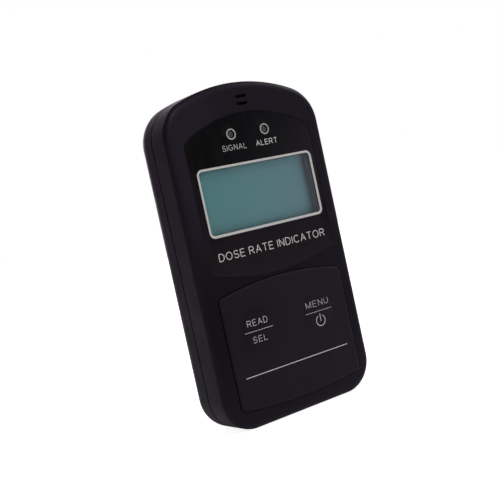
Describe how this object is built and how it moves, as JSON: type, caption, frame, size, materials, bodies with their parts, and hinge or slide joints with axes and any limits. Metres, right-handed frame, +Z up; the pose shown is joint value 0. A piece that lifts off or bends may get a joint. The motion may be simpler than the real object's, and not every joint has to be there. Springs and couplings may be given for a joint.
{
  "type": "geiger counter",
  "caption": "Pocket radiation counter with an arched top, glossy window over a display, indicator lamps, round press buttons and a swing-out battery door.",
  "frame": {"origin": "centre of the flat bottom end, at the middle of the case's depth", "axes": "+Z up along the case's length towards the arched top end, +Y out of the back, -Y out of the display face, +X to the right of someone who reads the display"},
  "size_m": [0.05, 0.0183, 0.0908],
  "materials": {
    "case_black": "fine soft-touch matte, black with a slight violet cast",
    "gasket_rubber": "dull",
    "window_black": "high gloss, back-printed black",
    "clear_acrylic": "clear, polished",
    "keypad_rubber": "matte silk",
    "frame_grey": "satin moulded",
    "lcd_teal": "glossy polariser over a blue-green reflector",
    "backlight_white": "satin diffuser",
    "silicone": "dull, striped",
    "board_green": "satin solder mask",
    "chip_black": "matte moulded",
    "switch_white": "satin",
    "led_epoxy": "polished, tinted",
    "buzzer_black": "satin",
    "foam_grey": "open-cell foam",
    "ribbon_amber": "satin film",
    "winding_amber": "glossy taped coil",
    "ferrite": "dull sintered",
    "ceramic_blue": "glossy dipped",
    "cap_sleeve": "glossy sleeve",
    "nickel": "bright plated",
    "steel": "brushed",
    "tin_foil": "bright foil",
    "glass_bead": "polished",
    "bronze": "bright spring",
    "cell_wrap": "glossy printed wrap",
    "screw_black": "black oxide"
  },
  "bodies": {
    "case": {"front_shell": "case_black", "rear_shell": "case_black", "case_gasket": "gasket_rubber", "display_window": "window_black", "display_lens": "clear_acrylic", "keypad_panel": "keypad_rubber", "lcd_frame": "frame_grey", "battery_tray": "frame_grey", "lcd_glass": "lcd_teal", "lcd_backlight": "backlight_white", "zebra_strip": "silicone", "main_board": "board_green", "keypad_board": "board_green", "microcontroller": "chip_black", "view_switch": "chip_black", "mode_switch": "chip_black", "status_led": "led_epoxy", "alarm_led": "led_epoxy", "buzzer": "buzzer_black", "buzzer_gasket": "foam_grey", "ribbon_jumper": "ribbon_amber", "transformer_winding": "winding_amber", "transformer_core": "ferrite", "hv_capacitor": "ceramic_blue", "supply_capacitor": "cap_sleeve", "crystal": "nickel", "battery_contact_negative": "nickel", "battery_contact_positive": "nickel", "gm_tube_anode": "nickel", "gm_tube": "steel", "battery_spring": "steel", "board_screw_1": "steel", "board_screw_2": "steel", "board_screw_3": "steel", "board_screw_4": "steel", "keypad_screw_1": "steel", "keypad_screw_2": "steel", "gm_tube_filter": "tin_foil", "gm_tube_seal": "glass_bead", "tube_clip_lower": "bronze", "tube_clip_upper": "bronze", "battery_cell": "cell_wrap", "case_screw_1": "screw_black", "case_screw_2": "screw_black", "case_screw_3": "screw_black", "case_screw_4": "screw_black"},
    "view_key": {"view_button": "keypad_rubber", "view_plunger": "switch_white"},
    "mode_key": {"mode_button": "keypad_rubber", "mode_plunger": "switch_white"},
    "door": {"battery_door": "case_black"}
  },
  "joints": [
    {"name": "view_button_press", "type": "slide", "parent": "case", "child": "view_key", "axis": [0, 1, 0], "range_m": [0, 0.0004], "stiffness_N_per_m": 1500},
    {"name": "mode_button_press", "type": "slide", "parent": "case", "child": "mode_key", "axis": [0, 1, 0], "range_m": [0, 0.0004], "stiffness_N_per_m": 1500},
    {"name": "battery_door_swing", "type": "hinge", "parent": "case", "child": "door", "pos_m": [0, 0.0088, 0.009], "axis": [-1, 0, 0], "range_deg": [0, 70]}
  ]
}
